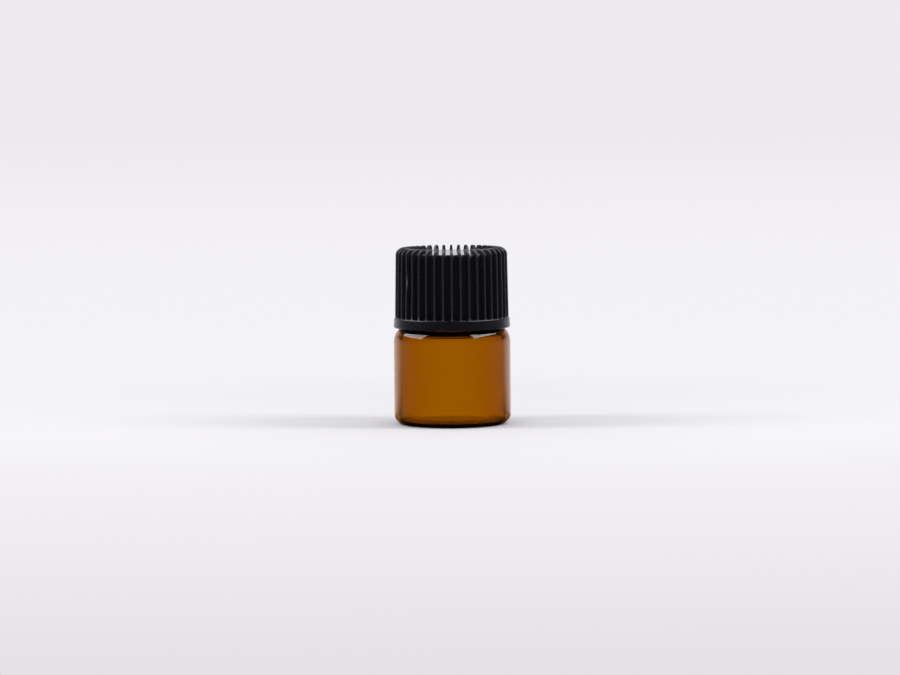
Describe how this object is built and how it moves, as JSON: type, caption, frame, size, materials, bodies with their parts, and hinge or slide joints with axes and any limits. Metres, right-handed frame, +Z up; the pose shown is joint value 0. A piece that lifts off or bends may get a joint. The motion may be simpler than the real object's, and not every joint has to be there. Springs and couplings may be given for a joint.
{
  "type": "glass sample vial",
  "caption": "Small amber glass sample vial, empty, closed by a tall ribbed black screw cap with a foam liner.",
  "frame": {"origin": "centre of the foot ring that the vial stands on", "axes": "+Z up along the vial's axis, towards the cap; the first rib of the cap and the neck thread's start lie on +X"},
  "size_m": [0.0164, 0.0164, 0.025],
  "materials": {
    "amber_glass": "clear amber glass",
    "liner_foam": "white foamed polyethylene",
    "black_plastic": "moulded black, satin"
  },
  "bodies": {
    "vial": {"vial": "amber_glass"},
    "liner": {"cap_liner": "liner_foam"},
    "cap": {"cap": "black_plastic"}
  },
  "joints": [
    {"name": "cap_rise", "type": "slide", "parent": "vial", "child": "liner", "axis": [0, 0, 1], "range_m": [0, 0.0106]},
    {"name": "cap_turn", "type": "hinge", "parent": "liner", "child": "cap", "pos_m": [0, 0, 0], "axis": [0, 0, 1], "range_deg": [0, 1800]}
  ],
  "couplings": [
    {"joint": "cap_turn", "follows": "cap_rise", "rad_per_m": 2963.8}
  ]
}
